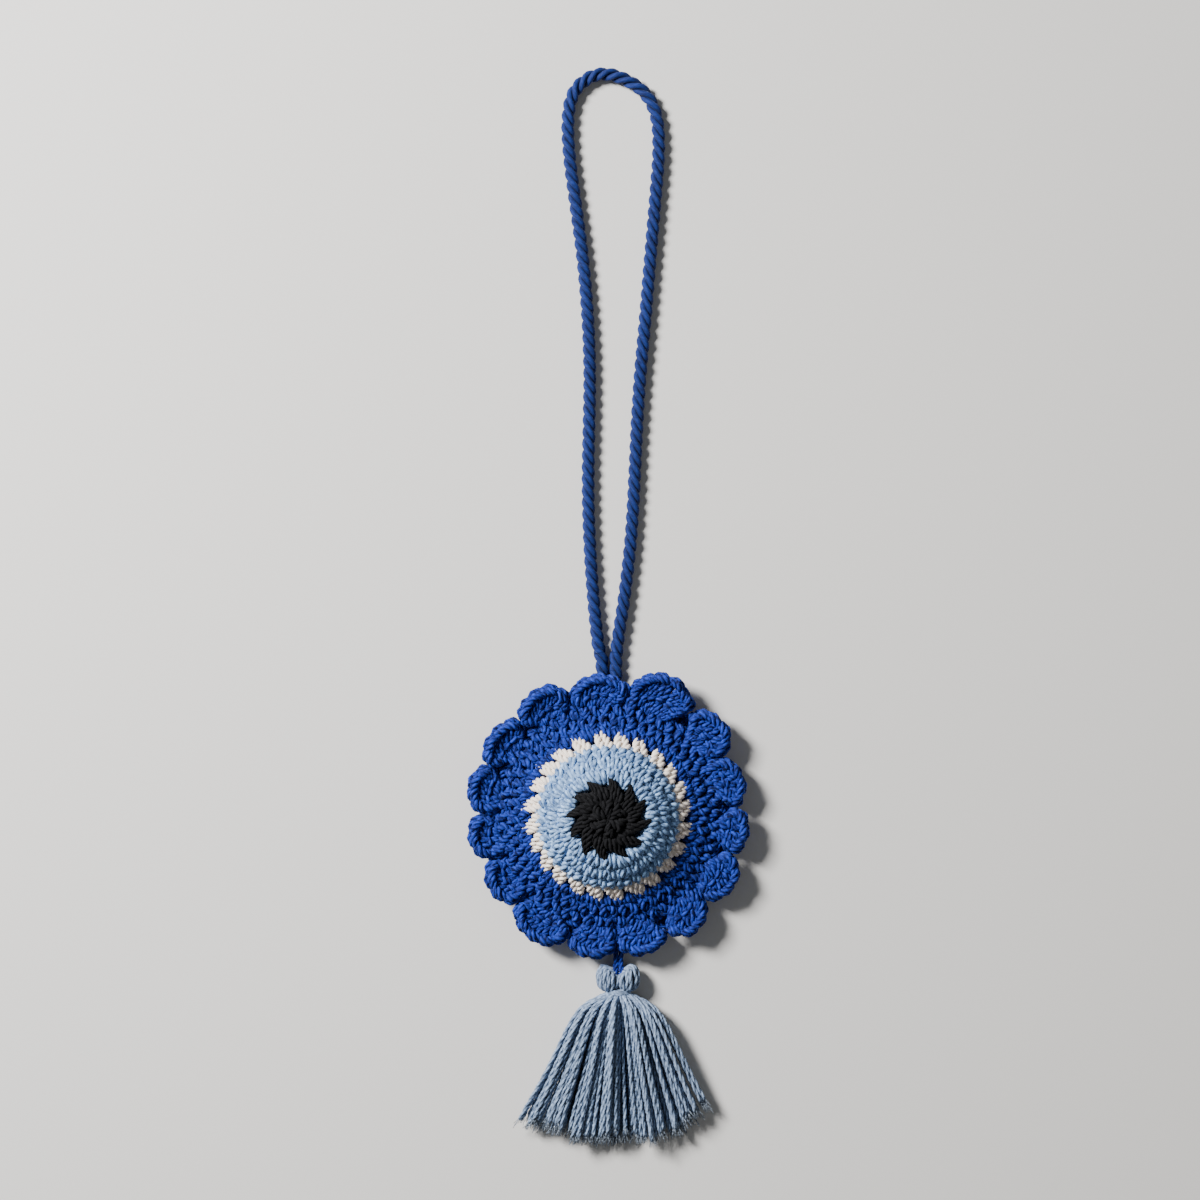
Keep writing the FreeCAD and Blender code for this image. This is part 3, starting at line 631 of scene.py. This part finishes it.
def fan_knots(fan, count):
    """Yarn of one scallop: up from the notch, a fan of tall stitches, and down into the next notch."""
    notch = fan.place(-0.06, 0.0)
    notch_out = notch * (1, 1, 0) / np.linalg.norm(notch[:2])
    knots = [(*(notch + notch_out * out + (0, 0, rise)), thickness) for out, rise, thickness in NOTCH_STITCH]
    knots += [(*(fan.place(0.0, 0.1) - fan.lift(0.0, 0.1)), 0.8), (*fan.place(-0.02, 0.6), 0.9)]
    for number in range(count):
        middle = number + 0.5 + random.uniform(-0.08, 0.08)
        height = random.uniform(0.96, 1.03)
        for across, up, out, thickness in TALL_STITCH:
            place = fan.place((middle + across) / count, up * height)
            knots.append((*(place + out * fan.lift(middle / count, min(up, 1.0))), thickness))
    knots += [(*fan.place(1.02, 0.6), 0.9), (*(fan.place(1.0, 0.1) - fan.lift(1.0, 0.1)), 0.8)]
    return knots


for number, curl in enumerate(SCALLOP_CURLS, start=1):
    node = "scallop_%02d" % number
    fan = Fan(node, curl, DRAWN_IN.get(number, USUAL_DRAWN_IN))
    count = round(math.pi * fan.half_width / TALL_STITCH_WIDTH)
    piece = yarn_mesh(node + "_fan", [smooth_line(fan_knots(fan, count), POINT_SPACING)])
    piece.data.materials.append(BLUE_YARN)
    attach(piece, "eye")
    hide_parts(node)

# ------------------------------------------------------------------ hanging cord
# A limp royal-blue cord, 3.6 mm thick, laid from three soft plies. Its two ends are sewn in between the
# panels and knotted. It leaves side by side under the first scallop, runs up, round and back.

CORD_DIAMETER = 3.6
ENTRY_HEIGHT = 1.85
# The sewn-in end and the free route up, round and back, as (x, y, z).
CORD_ROUTE = [(-1.6, 16.5, 4.6), (-1.6, 20.0, 3.1), (-1.6, 29.0, 3.0), (-1.6, 34.6, ENTRY_HEIGHT),
              (-1.6, 39.1, ENTRY_HEIGHT)] + [(x, y, ENTRY_HEIGHT) for x, y in (
                  (-1.75, 42.0), (-2.5, 44.6), (-2.9, 47.1), (-4.0, 57.8), (-5.1, 74.0), (-5.5, 90.2),
                  (-5.1, 106.4), (-4.9, 119.9), (-5.4, 133.4), (-6.75, 149.6), (-8.6, 163.1), (-10.5, 176.6),
                  (-11.1, 187.4), (-9.7, 194.7), (-5.4, 198.7), (-0.8, 199.8), (4.6, 198.2), (10.0, 194.7),
                  (13.2, 188.7), (13.8, 179.3), (12.7, 165.8), (11.3, 149.6), (10.0, 133.4), (8.7, 119.9),
                  (7.8, 106.4), (7.1, 90.2), (6.2, 74.0), (4.3, 57.8), (2.6, 47.1), (2.4, 44.6),
                  (2.1, 42.0))] + [
              (2.1, 39.1, ENTRY_HEIGHT), (2.1, 34.6, ENTRY_HEIGHT), (2.1, 29.0, 3.0), (2.1, 20.0, 3.1),
              (2.1, 16.5, 4.6)]
ROPE = dict(plies=3, ply_radius=0.93, ply_offset=0.90, lay=-9.5, sides=8)
CORD_YARN = yarn_material("royal_blue_cord", light=(0.009, 0.034, 0.22), dark=(0.001, 0.004, 0.04), marl=0.8,
                          streaks=2.0, sheen_tint=(0.45, 0.62, 1.0))


def spline_points(name, route, resolution=24):
    """Points of a smooth NURBS line with the route as its control points, in millimetres."""
    curve = bpy.data.curves.new(name, "CURVE")
    curve.dimensions = "3D"
    curve.resolution_u = resolution
    spline = curve.splines.new("NURBS")
    spline.points.add(len(route) - 1)
    for point, place in zip(spline.points, route):
        point.co = (*(np.array(place) * MM), 1)
    spline.order_u = 3
    spline.use_endpoint_u = True
    holder = bpy.data.objects.new(name, curve)
    mesh = bpy.data.meshes.new_from_object(holder)
    points = np.array([vertex.co for vertex in mesh.vertices]) / MM
    bpy.data.meshes.remove(mesh)
    bpy.data.objects.remove(holder)
    bpy.data.curves.remove(curve)
    return points


def joined(name, pieces):
    """Pieces made one object under the first one's materials."""
    bpy.ops.object.select_all(action="DESELECT")
    for piece in pieces:
        piece.select_set(True)
    bpy.context.view_layer.objects.active = pieces[0]
    bpy.ops.object.join()
    pieces[0].name = name
    return pieces[0]


def cord_ends(name, low, high):
    """Both strands of the cord between two heights up the charm, as one piece."""
    strands = []
    for half in (slice(0, CORD_TOP), slice(CORD_TOP, None)):
        height = cord_line[half, 1]
        inside = np.nonzero((height >= low) & (height <= high))[0] + (half.start or 0)
        strands.append(yarn_mesh(name, [cord_line], rows_kept=slice(inside[0], inside[-1] + 1), **ROPE))
    ends = joined(name, strands)
    ends.data.materials.append(CORD_YARN)
    return ends


cord_line = spline_points("cord_route", CORD_ROUTE)
CORD_TOP = int(cord_line[:, 1].argmax())
# Where the cord's pieces meet, in y, and how far they run into each other there.
RIM_CUT = 38.6
ROOT_CUT = 43.5
OVERLAP = 0.3

anchor = cord_ends("cord_sewn_ends", -math.inf, RIM_CUT + OVERLAP)
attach(anchor, "eye")
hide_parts("cord_anchor")

root = cord_ends("cord_roots", RIM_CUT, ROOT_CUT + OVERLAP)
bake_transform(root)
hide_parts("hang_cord_root")

free = np.nonzero(cord_line[:, 1] > ROOT_CUT)[0]
cord = yarn_mesh("hanging_cord", [cord_line], rows_kept=slice(free[0], free[-1] + 1), **ROPE)
cord.data.materials.append(CORD_YARN)
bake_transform(cord)
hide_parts("hang_cord")

# ------------------------------------------------------------------ cord knot
# Inside the eye the two ends are tied in a flat overhand knot, which keeps the cord from pulling out.

knot_low, knot_high = (np.array(corner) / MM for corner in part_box("cord_knot"))
knot_centre = (knot_low + knot_high) / 2
KNOT_SPREAD = 0.9
KNOT_LOOPS = 1.2
KNOT_RISE = 0.7
knot_size = (knot_high - knot_low) / 2 - CORD_DIAMETER / 2 + KNOT_SPREAD
turns = np.linspace(0, 2 * math.pi, 49)[:-1] + 0.3
knot_line = np.column_stack([
    knot_centre[0] + knot_size[0] * (np.sin(turns) + KNOT_LOOPS * np.sin(2 * turns)) / (1 + KNOT_LOOPS),
    knot_centre[1] + knot_size[1] * (np.cos(turns) - KNOT_LOOPS * np.cos(2 * turns)) / (1 + KNOT_LOOPS),
    knot_centre[2] - KNOT_RISE * np.sin(3 * turns)])
knot = yarn_mesh("cord_overhand_knot", [smooth_line(knot_line, POINT_SPACING)], plies=3, ply_radius=0.6,
                 ply_offset=0.58, lay=-7.0)
knot.data.materials.append(CORD_YARN)
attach(knot, "eye")
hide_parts("cord_knot")

# ------------------------------------------------------------------ tassel link
# A short doubled length of the royal-blue yarn. It is sewn into the notch between the two bottom
# scallops and loops round the middle of the tassel's strands, so the tassel hangs and turns freely.

# One of its two strands, as (how far it lies to its side of the middle, y, z).
LINK_ROUTE = [(0.3, -30.0, 4.4), (0.7, -33.5, 4.6), (0.75, -37.0, 4.2), (0.6, -40.0, 4.0),
              (0.9, -41.6, 4.6), (0.5, -42.6, 4.0), (0.2, -42.4, 2.8)]
link_low, link_high = (np.array(corner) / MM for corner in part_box("tassel_link"))
link_x = (link_low[0] + link_high[0]) / 2
link_lines = [spline_points("link_route", [(link_x + side * gap, y, z) for gap, y, z in LINK_ROUTE], 12)
              for side in (-1, 1)]
link = yarn_mesh("tassel_link_yarn", link_lines, ply_radius=0.40, ply_offset=0.36)
link.data.materials.append(BLUE_YARN)
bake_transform(link)
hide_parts("link_anchor", "tassel_link")

# ------------------------------------------------------------------ tassel head
# The strands' folded tops. Tied round the link and bound at the neck, they swell into two lobes with
# the blue link drawn into the groove between them.

TASSEL_STRAND = dict(plies=2, ply_radius=0.43, ply_offset=0.19, lay=6.5, sides=6)
TASSEL_YARN = yarn_material("grey_blue_marl", light=(0.43, 0.57, 0.79), dark=(0.05, 0.085, 0.17), marl=2.0,
                            marl_scale=0.9)
head_low, head_high = (np.array(corner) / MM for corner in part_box("tassel_head"))
head_middle = (head_low + head_high) / 2
LOBE_OFFSET = 2.4
LOBE_RADIUS = 3.8
GROOVE_GAP = 0.3
STRAND_RADIUS = 0.60
# Down a lobe: y below its top, the share of its radius there, and how much lower the groove's side is.
LOBE_PROFILE = [(0.6, 0.50, 1.3), (1.5, 0.84, 0.9), (3.6, 1.0, 0.2), (5.3, 0.90, 0.0), (6.6, 0.60, 0.0)]
# The strands of a lobe, in an outer layer and one inside it, as (radius, strands).
LOBE_LAYERS = [(LOBE_RADIUS - STRAND_RADIUS, 16), (LOBE_RADIUS - 2.8 * STRAND_RADIUS, 10)]


def lobe_strands(side):
    """Strands over one lobe: up out of the groove, round the lobe and in again at the neck."""
    lobe_x = head_middle[0] + side * LOBE_OFFSET
    groove = np.array([head_middle[0] + side * 0.5, head_high[1] - 2.0, head_middle[2] + 0.2])
    neck = np.array([head_middle[0] + side * 1.2, head_low[1] - 0.5, head_middle[2] - 0.3])
    lines = []
    for radius, count in LOBE_LAYERS:
        for number in range(count):
            angle = 2 * math.pi * (number + random.uniform(-0.25, 0.25)) / count
            size = radius * random.uniform(0.93, 1.0)
            ring = []
            for drop, share, sink in LOBE_PROFILE:
                x = lobe_x + side * max(size * share * math.cos(angle), GROOVE_GAP - LOBE_OFFSET)
                drop += sink * (1 - math.cos(angle))
                ring.append((x, head_high[1] - drop, head_middle[2] + size * share * math.sin(angle)))
            lines.append(smooth_line([groove, *ring, neck], 0.6))
    return lines


head = yarn_mesh("tassel_head_loops", lobe_strands(-1) + lobe_strands(1), **TASSEL_STRAND)
head.data.materials.append(TASSEL_YARN)
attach(head, "tassel")
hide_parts("tassel_head")

# ------------------------------------------------------------------ tassel neck wrap
# A length of the same marled yarn, wound round the neck three times and knotted, which holds the folded
# strands together under the link.

wrap_low, wrap_high = (np.array(corner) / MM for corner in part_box("tassel_neck_wrap"))
wrap_middle = (wrap_low + wrap_high) / 2
WRAP_TURNS = 3
wrap_reach = (wrap_high - wrap_low) / 2 - STRAND_RADIUS + (0.3, 0.0, 0.2)
wrap_turns = np.linspace(0, WRAP_TURNS * 2 * math.pi, 20 * WRAP_TURNS)
wrap_line = np.column_stack([wrap_middle[0] + wrap_reach[0] * np.cos(wrap_turns),
                             np.linspace(wrap_high[1] - 0.2, wrap_low[1] + 0.1, len(wrap_turns)),
                             wrap_middle[2] + wrap_reach[2] * np.sin(wrap_turns)])
wrap = yarn_mesh("tassel_neck_turns", [smooth_line(wrap_line, POINT_SPACING)], **TASSEL_STRAND)
wrap.data.materials.append(TASSEL_YARN)
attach(wrap, "tassel")
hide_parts("tassel_neck_wrap")

# ------------------------------------------------------------------ tassel skirt
# A hundred and seventy-five cut ends of thin two-ply marled yarn. They spring sideways out of the neck,
# fan down and lie in a flattened bundle, cut to a curve and a little frayed at the ends.

# Down the skirt: y, half width and half depth of the bundle.
SKIRT = np.array([(-47.6, 2.4, 1.8), (-49.0, 6.0, 3.6), (-51.5, 10.6, 4.6), (-55.5, 13.8, 5.1),
                  (-60.0, 16.2, 5.2), (-66.0, 19.2, 5.1), (-72.0, 22.3, 4.7), (-79.0, 26.2, 4.2),
                  (-85.8, 29.4, 3.8), (-89.0, 31.0, 3.7)])
SKIRT_STRANDS = 175
SKIRT_CENTRE_X = wrap_middle[0]
SKIRT_BOTTOM = -86.3
# How much higher the hem is at its left and right ends than in the middle.
HEM_RISE_LEFT = 6.0
HEM_RISE_RIGHT = 9.2
GOLDEN_TURN = math.pi * (3 - math.sqrt(5))


def skirt_strand(number):
    """One strand: a seat in the bundle that drifts a little on the way down, cut at the hem's curve."""
    share = math.sqrt((number + 0.5) / SKIRT_STRANDS)
    angle = number * GOLDEN_TURN + random.uniform(-0.2, 0.2)
    drift = random.uniform(-0.16, 0.16)
    seat_x, seat_z = share * math.cos(angle), share * math.sin(angle)
    hem_rise = (HEM_RISE_LEFT if seat_x < 0 else HEM_RISE_RIGHT) * abs(seat_x) ** 2.2
    clump = 0.8 * math.sin(9.0 * seat_x + 2.0 * seat_z)
    hem = SKIRT_BOTTOM + hem_rise + clump + random.uniform(-0.8, 1.3)
    knots = []
    for y, width, depth in SKIRT:
        fallen = (SKIRT[0, 0] - y) / (SKIRT[0, 0] - SKIRT[-1, 0])
        sway = drift * math.sin(math.pi * fallen * 1.3) * 1.6
        x = SKIRT_CENTRE_X + seat_x * (width - STRAND_RADIUS) + sway
        z = max(depth + seat_z * (depth - STRAND_RADIUS), STRAND_RADIUS + 0.05)
        z += (wrap_middle[2] - depth) * max(0.0, 1 - fallen * 8)
        knots.append((x, y, z))
    line = smooth_line(knots, 1.0)
    return line[line[:, 1] > hem]


FIBRES_AT_END = 7


def frayed_fibres(line):
    """Fine fibres that spread from a strand's cut end."""
    fall = line[-1] - line[-2]
    fall /= np.linalg.norm(fall)
    fibres = []
    for fibre in range(FIBRES_AT_END):
        spread = np.array([random.gauss(0, 0.30), random.gauss(0, 0.1), random.gauss(0, 0.22)])
        length = random.uniform(0.9, 2.4)
        start = line[-1] - fall * 0.8 + spread * 0.5
        end = line[-1] + fall * length + spread * 2.2
        end[2] = max(end[2], 0.2)
        fibres.append(smooth_line([start, (start + end) / 2 + fall * 0.2, end], 0.9))
    return fibres


skirt_lines = [skirt_strand(number) for number in range(SKIRT_STRANDS)]
skirt = yarn_mesh("tassel_skirt_strands", skirt_lines, **TASSEL_STRAND)
skirt.data.materials.append(TASSEL_YARN)
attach(skirt, "tassel")
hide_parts("tassel_skirt")

FIBRE_ENDS = yarn_material("grey_blue_fibre_ends", light=(0.62, 0.70, 0.80), dark=(0.20, 0.27, 0.38),
                           marl=1.0, painted_crease_shade=0.9)
frayed_ends = yarn_mesh("tassel_frayed_ends", sum((frayed_fibres(line) for line in skirt_lines), []),
                        plies=1, ply_radius=0.09, sides=3)
frayed_ends.data.materials.append(FIBRE_ENDS)
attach(frayed_ends, "tassel")

# ------------------------------------------------------------------ surface, light and camera
# A plain pale surface, one large soft light from the upper left and a weak one opposite, and the camera
# straight above the charm.

bpy.ops.mesh.primitive_plane_add(size=2.0, location=(0, 0.05, 0))
floor = bpy.context.object
floor.name = "floor"
floor_paint = bpy.data.materials.new("pale_floor")
floor_paint.use_nodes = True
paint = floor_paint.node_tree.nodes["Principled BSDF"]
paint.inputs["Base Color"].default_value = (0.72, 0.70, 0.67, 1)
paint.inputs["Roughness"].default_value = 0.9
floor.data.materials.append(floor_paint)


CHARM_MIDDLE = Vector((0, 0.05, 0))


def soft_light(name, place, width, watts):
    """A square area light at a place, turned to the middle of the charm."""
    bpy.ops.object.light_add(type="AREA", location=place)
    lamp = bpy.context.object
    lamp.name = name
    lamp.data.size = width
    lamp.data.energy = watts
    lamp.rotation_euler = (CHARM_MIDDLE - Vector(place)).to_track_quat("-Z", "Y").to_euler()


soft_light("window_light", (-0.62, 0.46, 0.66), width=0.26, watts=27)
soft_light("fill_light", (0.6, -0.2, 0.8), width=0.8, watts=0.5)
world = bpy.data.worlds.new("soft_room")
world.use_nodes = True
sky = world.node_tree.nodes["Background"]
sky.inputs["Color"].default_value = (0.9, 0.95, 1.0, 1)
sky.inputs["Strength"].default_value = 0.12
bpy.context.scene.world = world

bpy.ops.object.camera_add(location=(-0.0022, 0.0578, 0.8), rotation=(0, 0, 0))
camera = bpy.context.object
camera.data.lens = 88.9
bpy.context.scene.camera = camera
